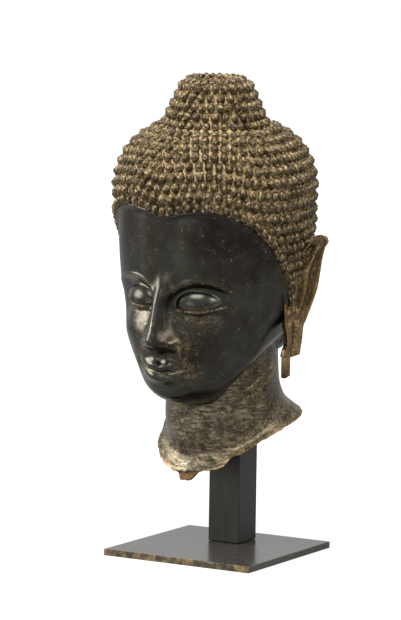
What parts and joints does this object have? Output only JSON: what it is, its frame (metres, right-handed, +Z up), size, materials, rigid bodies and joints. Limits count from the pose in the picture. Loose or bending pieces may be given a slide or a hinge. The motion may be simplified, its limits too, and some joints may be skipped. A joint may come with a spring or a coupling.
{
  "type": "bronze buddha head on a stand",
  "caption": "Hollow-cast dark bronze head with snail-shell curls, a broken topknot and long ears, broken off at the neck and held by a square post on a square plate.",
  "frame": {"origin": "middle of the plate's underside", "axes": "+Z up, the face looks along -Y, +X to the head's own left"},
  "size_m": [0.2103, 0.2067, 0.433],
  "materials": {
    "bronze": "cast bronze with a glossy dark brown patina and tan dirt between the curls",
    "dark_steel": "waxed dark mill finish, rubbed brown along the edges"
  },
  "bodies": {
    "root": {"bronze_head": "bronze", "post": "dark_steel", "base_plate": "dark_steel"}
  },
  "joints": []
}
